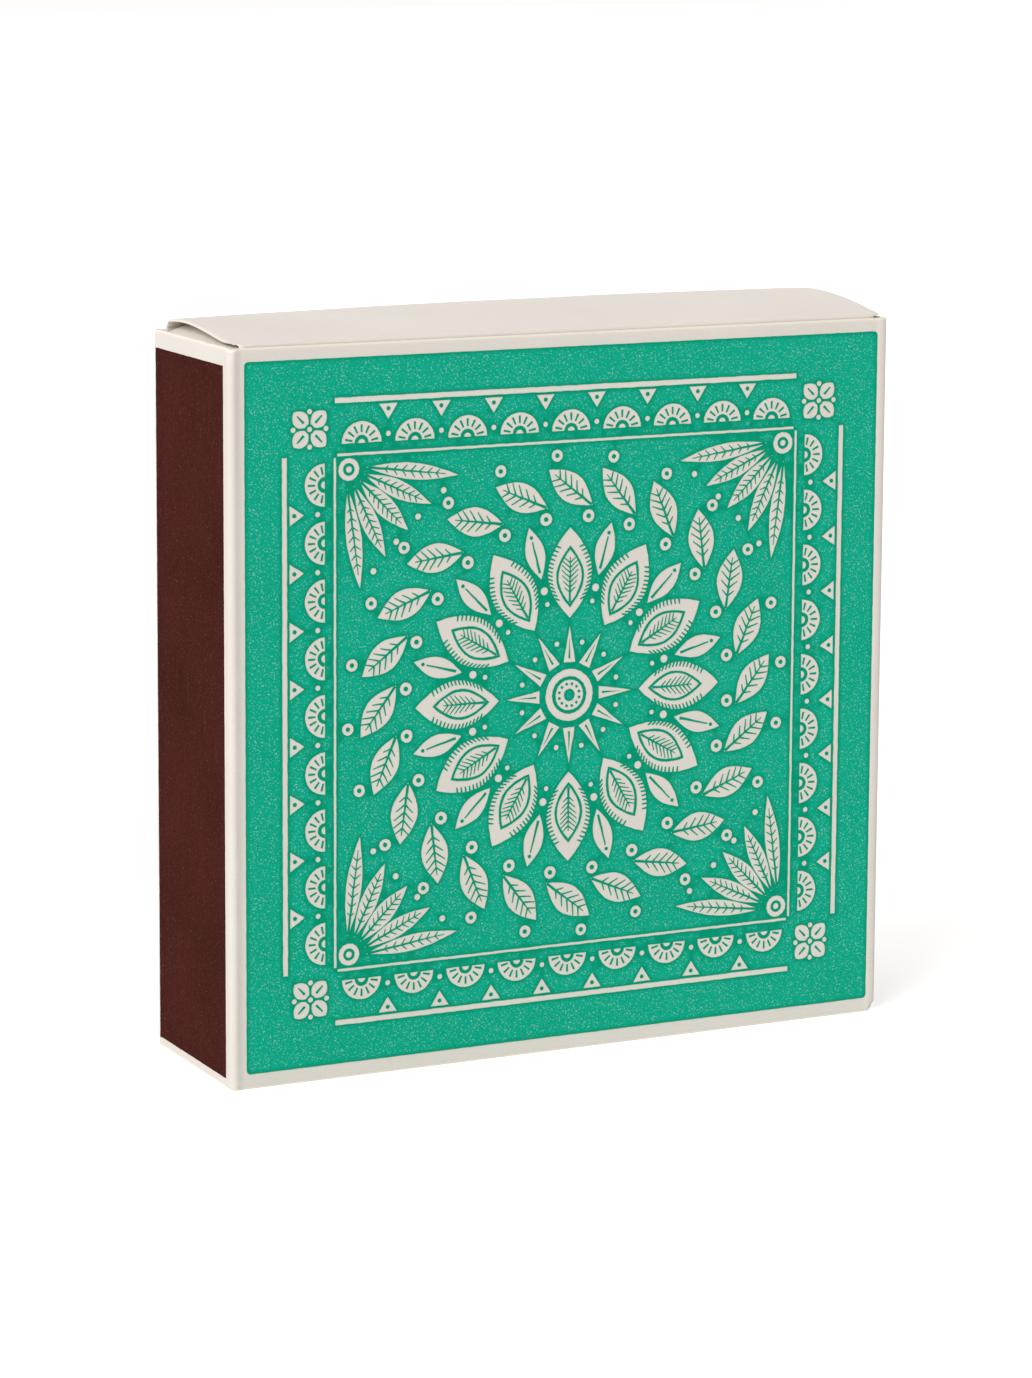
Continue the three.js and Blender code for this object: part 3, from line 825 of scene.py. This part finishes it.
def makeInkMaterial():
    material, tree, shader = newMaterial("greenInk")
    rim = addNode(tree, "ShaderNodeAttribute", attribute_name="rim").outputs["Fac"]
    away = remap(tree, rim, *inkSet["rimReach"])
    cloud = useGroup(tree, softMottle, Scale=inkSet["cloudScale"]).outputs["Mask"]
    grain = useGroup(tree, fibreGrain, Scale=inkSet["grainScale"])
    fine = grain.outputs["Mask"]
    patches = weigh(tree, fine, inkSet["grainShare"], cloud, inkSet["cloudShare"])
    base = mixColour(tree, away, inkSet["deep"], inkSet["middle"])
    base = mixColour(tree, maths(tree, "MULTIPLY", away, patches, clamp=True), base, inkSet["pale"])
    spots = useGroup(tree, specks, Scale=inkSet["speckScale"], Amount=inkSet["speckAmount"]).outputs["Mask"]
    clumps = noiseFactor(tree, objectPlace(tree), inkSet["clumpScale"], detail=2.0)
    clumps = remap(tree, clumps, *inkSet["clumpLevels"], *inkSet["clumpRange"])
    strength = maths(tree, "MULTIPLY", away, maths(tree, "MULTIPLY", clumps, inkSet["speckStrength"]))
    spots = maths(tree, "MULTIPLY", spots, strength)
    tree.links.new(mixColour(tree, spots, base, inkSet["bare"]), shader.inputs["Base Color"])
    tree.links.new(remap(tree, fine, 0, 1, *inkSet["roughness"]), shader.inputs["Roughness"])
    shader.inputs["Specular IOR Level"].default_value = inkSet["specular"]
    addBump(tree, shader, grain.outputs["Height"], inkSet["grainDepth"])
    return material


def makeFrontPrint():
    low, high = (Vector(corner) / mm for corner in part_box("front_print"))
    middle, half = (low + high) / 2, (high - low) / 2
    shapes = [(inkField(half.x - printSet["margin"], half.z - printSet["margin"]), True)]
    shapes += sunShapes() + petalShapes() + wreathShapes() + fanShapes() + borderShapes()
    rough = []
    for k, (points, inked) in enumerate(shapes):
        amount = printSet["rough"] if k else printSet["fieldRough"]
        if max((p - points[0]).length for p in points) < printSet["smallShape"]:
            amount /= 2
        rough.append((roughen(points, amount, printSet["outlineStep"], 0.37 * (k % 13)), inked))

    def toPoint(x, z, film):
        x += middle.x
        return (x, -halfDepth + panelInset(foldDistance(x, halfWidth)) - film, z + middle.z)

    verts, faces, rims = paintedFilm(rough, printSet["gridStep"], toPoint, printSet["film"])
    piece = makePiece("frontInk", verts, faces, [makeInkMaterial()])
    rimLayer(piece, rims)
    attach(piece, "sleeve")
    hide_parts("front_print")
    print("front print made,", len(faces), "faces")


makeFrontPrint()


# Tray: floor and side walls, rolled-over ends, and a corner tab from each side wall between an end's layers

traySet = {
    "board": 0.45, "foldRadius": 0.75,
    "endWall": 2.1, "endSideGap": 0.35, "innerGap": 0.4,
    "backRise": 2.5, "frontRise": 0.75,      # the lid over the sleeve's edge, and the pull that arches it
    "crownPull": 3.8, "crownPlace": 0.4,
    "backRadius": 1.5,
    "archSteps": (0.88, 0.02, 0.006),        # where the fine steps start, then coarse and fine
    "acrossEnds": (0, 0.3, 1), "acrossStep": 2, "acrossMargin": 3,
    "tabLength": 14.0, "tabDrop": 0.25, "tabBackGap": 0.7, "tabFrontGap": 0.1,
    # a pair named Rise is a height over the sleeve's edge where the effect starts, and its span
    "cornerCut": 0.8, "cutRise": (-1.2, 1.0),
    "lidReach": 0.75, "reachSpan": 9, "reachRise": (0, 0.4),   # the lid's right end is pushed out
    "bulgePlace": 20.0, "leftSag": 0.85, "rightSag": 0.25, "sagRise": (0.2, 1.2),
    "leftPress": 0.2, "pressX": (-12, 40), "pressBack": (9, 13), "pressFront": (14, 9),
    "lidBump": 0.05, "bumpMiddle": 0.6, "bumpSize": 14,
    "creasePlace": 1.45, "creaseWidth": 0.16, "creaseDepth": 0.12, "creaseRise": (0, 0.3),
    "creaseWander": (0.12, 9),
    "tabBow": 1.0, "bowPlace": (9, 14), "bowSide": (-0.3, 2.5), "bowHeight": (2, 1.5),   # of the upper tabs
}
trayLow, trayHigh = (Vector(corner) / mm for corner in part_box("tray"))
traySide, trayFront, trayBack = trayHigh.x, trayLow.y, trayHigh.y


def troughLine():
    half, radius = traySet["board"] / 2, traySet["foldRadius"]
    middle = radius - half
    nearX, nearY = traySide - radius, trayBack - radius
    left = [Vector((-traySide + half, y)) for y in spread(trayFront, nearY, 2.5)]
    back = [Vector((x, trayBack - half)) for x in spread(-nearX, nearX, 4)]
    right = [Vector((traySide - half, y)) for y in spread(nearY, trayFront, 2.5)]
    left = rubAndHighlightEnd(left[::-1])[::-1]
    return (left[:-1] + arcPoints(-nearX, nearY, middle, 180, 90, 6) + back[1:-1]
            + arcPoints(nearX, nearY, middle, 90, 0, 6) + rubAndHighlightEnd(right[1:]))


def topEndLine():
    half = traySet["board"] / 2
    middle = traySet["foldRadius"] - half
    backLine = traySet["backRadius"] - half
    floorLine, frontLine = trayBack - half, trayFront + half
    backZ = sleeveHeight + traySet["backRise"] - half
    frontZ = sleeveHeight + traySet["frontRise"] - half
    innerZ = sleeveHeight - traySet["endWall"] + half
    start = Vector((floorLine - backLine, backZ))
    end = Vector((frontLine + middle, frontZ))
    crownZ = sleeveHeight + traySet["crownPull"] - half
    crown = Vector((start.x + (end.x - start.x) * traySet["crownPlace"], crownZ))
    turn, coarse, fine = traySet["archSteps"]
    arch = [start * (1 - t) ** 2 + crown * (2 * t * (1 - t)) + end * t ** 2
            for t in spread(0, turn, coarse) + spread(turn, 1, fine)[1:]]
    lean = math.degrees(math.atan2(crown.y - start.y, start.x - crown.x))
    drop = math.degrees(math.atan2(crown.y - end.y, crown.x - end.x))
    shift = start - arcPoints(start.x, backZ - backLine, backLine, 90 - lean, 90 - lean, 1)[0]
    back = [p + shift for p in arcPoints(start.x, backZ - backLine, backLine, 0, 90 - lean, 12)]
    back[0].x = floorLine
    front = arcPoints(end.x, frontZ - middle, middle, 90 + drop, 180, 10)
    inner = arcPoints(end.x, innerZ + middle, middle, 180, 270, 6)
    far = Vector((floorLine - half - traySet["innerGap"], innerZ))
    rest = rubAndHighlightEnd([inner[-1].lerp(far, t) for t in spread(0, 1, 0.1)])
    return [Vector((floorLine, innerZ - traySet["endWall"]))] + back + arch[1:-1] + front + inner + rest[1:]


def bottomEndLine():
    half = traySet["board"] / 2
    middle = traySet["foldRadius"] - half
    floorLine, frontLine = trayBack - half, trayFront + half
    innerZ = traySet["endWall"] - half
    flat = [Vector((y, half)) for y in spread(floorLine - middle, frontLine + middle, 2.5)]
    inner = arcPoints(frontLine + middle, innerZ - middle, middle, 180, 90, 6)
    far = Vector((floorLine - half - traySet["innerGap"], innerZ))
    return ([Vector((floorLine, 2 * traySet["endWall"]))]
            + arcPoints(floorLine - middle, half + middle, middle, 0, -90, 8) + flat[1:-1]
            + arcPoints(frontLine + middle, half + middle, middle, -90, -180, 8) + rubAndHighlightEnd(inner + [far]))


def tabLine(side, up, tabZ):
    half = traySet["board"] / 2
    middle = traySet["foldRadius"] - half
    wall = traySide - half
    bend = arcPoints(wall - middle, -middle, middle, 0, 90, 8)
    bend = [Vector((side * p.x, tabZ + up * p.y)) for p in bend]
    end = Vector((side * (wall - traySet["tabLength"]), tabZ))
    flat = rubAndHighlightEnd([bend[-1].lerp(end, t) for t in spread(0, 1, 0.2)])
    return [Vector((side * wall, tabZ - up * 3 * middle))] + bend + flat[1:]


def overEdge(z, start, span):
    return smoothStep((z - sleeveHeight - start) / span)


def lidSag(x, y):
    # the lid bulges a little right of its middle, and its left end is pressed down in front
    bulge = traySet["bulgePlace"]
    if x > bulge:
        return traySet["rightSag"] * ((x - bulge) / (traySide - bulge)) ** 2
    sag = traySet["leftSag"] * ((bulge - x) / (traySide + bulge)) ** 2
    pressed = traySet["leftPress"]
    for place, key in ((-x, "pressX"), (y, "pressFront"), (-y, "pressBack")):
        start, span = traySet[key]
        pressed *= smoothStep((place + start) / span)
    return sag + pressed


def fuse(pieces):
    # joins the sheets into one closed body
    base = pieces[0]
    for other in pieces[1:]:
        join = base.modifiers.new("join", "BOOLEAN")
        join.operation = "UNION"
        join.solver = "EXACT"
        join.object = other
    seen = bpy.context.evaluated_depsgraph_get()
    mesh = bpy.data.meshes.new_from_object(base.evaluated_get(seen), depsgraph=seen)
    base.modifiers.clear()
    base.data = mesh
    for other in pieces[1:]:
        bpy.data.objects.remove(other)
    mesh.polygons.foreach_set("use_smooth", [True] * len(mesh.polygons))
    mesh.set_sharp_from_angle(angle=math.radians(foldAngle))
    return base


def makeTray():
    board, half = traySet["board"], traySet["board"] / 2
    middle = traySet["foldRadius"] - half
    topTab = sleeveHeight - traySet["tabDrop"] - half
    bottomTab = traySet["endWall"] / 2
    endHalf = traySide - board - traySet["endSideGap"]
    materials = [trayBoard, boardCore]

    def endPoint(y, z, x):
        cut = traySet["cornerCut"]
        cut *= smoothStep((trayFront + cut - y) / cut) * overEdge(z, *traySet["cutRise"])
        x *= (endHalf - cut) / endHalf
        span = traySet["reachSpan"]
        x += traySet["lidReach"] * smoothStep((x - endHalf + span) / span) * overEdge(z, *traySet["reachRise"])
        bump = traySet["lidBump"] * (traySet["bumpMiddle"] - wobble(x, y, 0, traySet["bumpSize"], 5.0))
        z -= overEdge(z, *traySet["sagRise"]) * (lidSag(x, y) + bump)
        wander, size = traySet["creaseWander"]
        place = trayFront + traySet["creasePlace"] + wander * wobble(x, 0, 0, size, 2.0)
        dip = traySet["creaseDepth"] * math.exp(-((y - place) / traySet["creaseWidth"]) ** 2)
        return (x, y, z - overEdge(z, *traySet["creaseRise"]) * dip)

    def tabPoint(x, z, y):
        bow = traySet["tabBow"]
        for place, key in ((traySide - abs(x), "bowSide"), (z - topTab, "bowHeight"), (y, "bowPlace")):
            start, span = traySet[key]
            bow *= smoothStep((place + start) / span)
        return (x, y, z + bow)

    ends, reach = traySet["acrossEnds"], endHalf - traySet["acrossMargin"]
    across = [d - endHalf for d in ends] + spread(-reach, reach, traySet["acrossStep"])
    across += [endHalf - d for d in reversed(ends)]

    def makeSheet(name, line, levels, toPoint, joined):
        verts, faces, slots = bentSheet(line, levels, board, toPoint, joined)
        return makePiece(name, verts, faces, materials, slots)

    parts = [makeSheet("trayBoard", troughLine(), spread(bottomTab + middle, topTab - middle, 5),
                       lambda x, y, z: (x, y, z), "levels"),
             makeSheet("topEnd", topEndLine(), across, endPoint, "start"),
             makeSheet("bottomEnd", bottomEndLine(), across, endPoint, "start")]
    tabBack = trayBack - board - traySet["tabBackGap"]
    tabFront = trayFront + board + traySet["tabFrontGap"]
    places = [tabFront] + spread(tabFront + rubAndHighlightWidth, tabBack - rubAndHighlightWidth, 3) + [tabBack]
    for side in (-1, 1):
        for up, tabZ in ((1, topTab), (-1, bottomTab)):
            parts.append(makeSheet("tab", tabLine(side, up, tabZ), places, tabPoint, "start"))
    piece = fuse(parts)
    markCutEdges(piece)
    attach(piece, "tray")
    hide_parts("tray")
    print("tray made,", len(piece.data.polygons), "faces")


makeTray()


# Matches: the row on the tray's floor, and more rows in front of it

matchSet = {
    "perRow": 24, "rows": 5, "rowPitch": 3.95,
    # how far the matches of every row but the first stray from their places
    "stray": {"x": 0.18, "y": 0.036, "lean": 0.12, "lift": 0.36, "short": 0.4, "turn": 14},
    "frontShare": 0.98,          # width of the sticks in front, as a share of the first row's
    "bevel": 0.12, "footEase": 0.1, "footShare": 0.94, "headLap": 0.2,
    "headSides": 14,
    "headProfile": ((0.70, -0.12), (0.86, 0.0), (0.98, 0.2), (1.0, 0.38), (0.95, 0.56), (0.8, 0.76),
                    (0.52, 0.93)),
    "headTip": 0.99,
    "skinMiddle": 0.96, "skinBump": 0.05, "skinSize": 1.4 / 3,   # shares of the head's radius
    "woodLight": (0.78, 0.60, 0.38),
    "woodDark": (0.60, 0.41, 0.22),
    "woodScale": 2600.0, "woodStretch": (1, 1, 0.05), "woodLevels": (0.3, 0.7),
    "grainShare": 0.55, "toneShare": 0.45,
    "woodRoughness": 0.7, "woodDepth": 0.05,
    "head": (0.012, 0.115, 0.075),
    "headPale": (0.035, 0.20, 0.14),
    "headScale": 2600.0, "headRoughness": 0.62, "headDepth": 0.09, "headAngle": 60,
}


def makeWoodMaterial():
    material, tree, shader = newMaterial("matchWood")
    tone = addNode(tree, "ShaderNodeAttribute", attribute_name="tone").outputs["Fac"]
    place = objectPlace(tree, matchSet["woodStretch"])
    grain = noiseFactor(tree, place, matchSet["woodScale"], detail=4.0, roughness=0.6)
    lines = remap(tree, grain, *matchSet["woodLevels"])
    factor = weigh(tree, lines, matchSet["grainShare"], tone, matchSet["toneShare"])
    colour = mixColour(tree, factor, matchSet["woodDark"], matchSet["woodLight"])
    tree.links.new(colour, shader.inputs["Base Color"])
    shader.inputs["Roughness"].default_value = matchSet["woodRoughness"]
    addBump(tree, shader, grain, matchSet["woodDepth"])
    return material


def makeHeadMaterial():
    material, tree, shader = newMaterial("headCompound")
    grain = useGroup(tree, fibreGrain, Scale=matchSet["headScale"])
    colour = mixColour(tree, grain.outputs["Mask"], matchSet["head"], matchSet["headPale"])
    tree.links.new(colour, shader.inputs["Base Color"])
    shader.inputs["Roughness"].default_value = matchSet["headRoughness"]
    addBump(tree, shader, grain.outputs["Height"], matchSet["headDepth"])
    return material


matchWood = makeWoodMaterial()
headCompound = makeHeadMaterial()


def tubeFaces(rings, count):
    faces = []
    for level in range(rings - 1):
        for k in range(count):
            low, lowNext = level * count + k, level * count + (k + 1) % count
            faces.append([low, lowNext, lowNext + count, low + count])
    return faces


def stickShape(foot, top, half, turn, lean):
    # a square stick with its long edges eased: verts, faces
    bevel = matchSet["bevel"]
    ring = []
    for k in range(4):
        ring += placed([Vector((half, half - bevel)), Vector((half - bevel, half))], 90 * k + turn)
    verts = []
    levels = (foot.z, foot.z + matchSet["footEase"], (foot.z + top) / 2, top)
    for z in levels:
        part = (z - foot.z) / (top - foot.z)
        size = matchSet["footShare"] if z == foot.z else 1.0
        verts += [(foot.x + lean.x * part + p.x * size, foot.y + lean.y * part + p.y * size, z) for p in ring]
    count, last = len(ring), (len(levels) - 1) * len(ring)
    ends = [list(range(count))[::-1], [last + k for k in range(count)]]
    return verts, ends + tubeFaces(len(levels), count)


def headShape(x, y, z, radius, length, seed):
    # a dipped drop with an uneven skin
    profile, sides = matchSet["headProfile"], matchSet["headSides"]
    verts = []
    for share, height in profile:
        for k in range(sides):
            angle = 2 * math.pi * k / sides
            bump = wobble(math.cos(angle), math.sin(angle), height, matchSet["skinSize"], seed)
            reach = radius * share * (matchSet["skinMiddle"] + matchSet["skinBump"] * bump)
            verts.append((x + math.cos(angle) * reach, y + math.sin(angle) * reach, z + height * length))
    verts.append((x, y, z + length * matchSet["headTip"]))
    last = (len(profile) - 1) * sides
    tip = [[last + k, last + (k + 1) % sides, last + sides] for k in range(sides)]
    return verts, [list(range(sides))[::-1]] + tubeFaces(len(profile), sides) + tip


def makeMatchRow(row):
    chance = random.Random(40 + row)
    stickLow, stickHigh = (Vector(corner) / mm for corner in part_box("match_stick_01"))
    headLow, headHigh = (Vector(corner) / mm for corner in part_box("match_head_01"))
    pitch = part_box("match_stick_02")[0][0] / mm - stickLow.x
    half, radius = (stickHigh.x - stickLow.x) / 2, (headHigh.x - headLow.x) / 2
    rowY = (stickLow.y + stickHigh.y) / 2 - matchSet["rowPitch"] * row
    odd = row % 2
    rowX = stickLow.x + half + odd * pitch / 2
    stray, loose = matchSet["stray"], int(row > 0)
    size = half * (matchSet["frontShare"] if row else 1.0)
    stickData, headData, tones = ([], []), ([], []), []
    for k in range(matchSet["perRow"] - odd):
        x = rowX + pitch * k + chance.uniform(-1, 1) * loose * stray["x"]
        y = rowY + chance.uniform(-1, 1) * loose * stray["y"]
        lean = Vector((chance.uniform(-1, 1), chance.uniform(-1, 1))) * loose * stray["lean"]
        lift = chance.uniform(0, 1) * loose * stray["lift"]
        top = stickHigh.z + lift + chance.uniform(-stray["short"], 0) * loose
        turn = chance.uniform(-stray["turn"], stray["turn"]) if row else 0.0
        stick = stickShape(Vector((x, y, stickLow.z + lift)), top + matchSet["headLap"], size, turn, lean)
        head = headShape(x + lean.x, y + lean.y, top, radius, headHigh.z - headLow.z, k + 30.0 * row)
        tones += [chance.random()] * len(stick[0])
        for data, shape in ((stickData, stick), (headData, head)):
            start = len(data[0])
            data[0].extend(shape[0])
            data[1].extend([[i + start for i in face] for face in shape[1]])
    sticks = makePiece(f"matchSticks{row + 1}", *stickData, [matchWood])
    setLayer(sticks, "tone", tones)
    heads = makePiece(f"matchHeads{row + 1}", *headData, [headCompound], sharpAngle=matchSet["headAngle"])
    kinds = ((sticks, "match_stick_%02d", "match_wood"), (heads, "match_head_%02d", "match_head"))
    for piece, node, slot in kinds:
        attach(piece, "tray")
        if row == 0:
            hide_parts(*[node % (k + 1) for k in range(matchSet["perRow"])])


for row in range(matchSet["rows"]):
    makeMatchRow(row)
print("matches made")


# Floor, light and camera

stageSet = {
    "floorSize": 8.0,            # metres
    "floorColour": (0.80, 0.80, 0.80),
    "floorUneven": 0.985, "floorCloud": 6.0,
    "cameraGlow": 0.55,          # added to the floor for the camera and for reflections, so that it shows white
    "ambient": 0.55, "ambientColour": (1.0, 0.98, 0.955),
    "lights": {                  # strength in watts a square metre, spread in degrees
        "window": {"strength": 1.85, "spread": 38, "from": (-0.729, -0.374, 0.573),
                   "colour": (1.0, 0.995, 0.985)},
        "backFill": {"strength": 0.5, "spread": 60, "from": (0.55, 0.78, 0.12), "colour": (1.0, 0.99, 0.97)},
    },
}


def seenDirectly(tree):
    # 1 for the rays that should see the background as white
    path = addNode(tree, "ShaderNodeLightPath")
    either = maths(tree, "MAXIMUM", path.outputs["Is Camera Ray"], path.outputs["Is Glossy Ray"])
    return maths(tree, "MAXIMUM", either, path.outputs["Is Transmission Ray"])


def makeFloor():
    material = bpy.data.materials.new("paleFloor")
    material.use_nodes = True
    tree = material.node_tree
    tree.nodes.clear()
    cloud = useGroup(tree, softMottle, Scale=stageSet["floorCloud"])
    light = stageSet["floorColour"]
    dark = [c * stageSet["floorUneven"] for c in light]
    colour = mixColour(tree, cloud.outputs["Mask"], dark, light)
    surface = addNode(tree, "ShaderNodeBsdfDiffuse", {"Color": colour})
    glow = addNode(tree, "ShaderNodeEmission", {
        "Strength": maths(tree, "MULTIPLY", seenDirectly(tree), stageSet["cameraGlow"])})
    both = addNode(tree, "ShaderNodeAddShader", {0: surface.outputs[0], 1: glow.outputs[0]})
    addNode(tree, "ShaderNodeOutputMaterial", {"Surface": both.outputs[0]})
    size = stageSet["floorSize"] / 2
    mesh = bpy.data.meshes.new("floor")
    corners = [(-size, -size, 0), (size, -size, 0), (size, size, 0), (-size, size, 0)]
    mesh.from_pydata(corners, [], [(0, 1, 2, 3)])
    mesh.materials.append(material)
    floor = bpy.data.objects.new("floor", mesh)
    bpy.context.scene.collection.objects.link(floor)
    floor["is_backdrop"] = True


def makeLight():
    world = bpy.data.worlds.new("paleRoom")
    bpy.context.scene.world = world
    world.use_nodes = True
    tree = world.node_tree
    background = tree.nodes["Background"]
    background.inputs["Color"].default_value = (*stageSet["ambientColour"], 1.0)
    strength = remap(tree, seenDirectly(tree), 0, 1, stageSet["ambient"], 1.0)
    tree.links.new(strength, background.inputs["Strength"])
    for name, light in stageSet["lights"].items():
        lamp = bpy.data.lights.new(name, "SUN")
        lamp.energy = light["strength"]
        lamp.angle = math.radians(light["spread"])
        lamp.color = light["colour"]
        sun = bpy.data.objects.new(name, lamp)
        sun.rotation_euler = Vector(light["from"]).to_track_quat("Z", "Y").to_euler()
        bpy.context.scene.collection.objects.link(sun)


cameraSet = {
    "place": (-298.3, -601.4, 181.5),
    "azimuth": -26.262,          # degrees, 0 looks along +Y
    "elevation": 9.021,
    "roll": 0.333,
    "focalPixels": 4443,
    "longSidePixels": 1378,
    "shift": -0.1,
    "sensor": 36, "clipStart": 0.01,
}


def makeCamera():
    azimuth, elevation, roll = (math.radians(cameraSet[key]) for key in ("azimuth", "elevation", "roll"))
    back = Vector((math.sin(azimuth) * math.cos(elevation), -math.cos(azimuth) * math.cos(elevation),
                   math.sin(elevation)))
    right = Vector((math.cos(azimuth), math.sin(azimuth), 0))
    up = back.cross(right)
    rolledRight = right * math.cos(roll) + up * math.sin(roll)
    rolledUp = up * math.cos(roll) - right * math.sin(roll)
    turn = Matrix((rolledRight, rolledUp, back)).transposed()
    data = bpy.data.cameras.new("camera")
    data.sensor_width = cameraSet["sensor"]
    data.lens = cameraSet["focalPixels"] * data.sensor_width / cameraSet["longSidePixels"]
    data.shift_y = cameraSet["shift"]
    data.clip_start = cameraSet["clipStart"]   # metres
    camera = bpy.data.objects.new("camera", data)
    camera.matrix_world = Matrix.Translation(Vector(cameraSet["place"]) * mm) @ turn.to_4x4()
    bpy.context.scene.collection.objects.link(camera)
    bpy.context.scene.camera = camera


makeFloor()
makeLight()
makeCamera()
bpy.context.scene.view_settings.view_transform = "Standard"
print("stage made")

bpy.context.view_layer.update()
boxes = {"cad": cadBounds, "visual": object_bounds()}
{name: [list(corner) for corner in box] for name, box in boxes.items()}
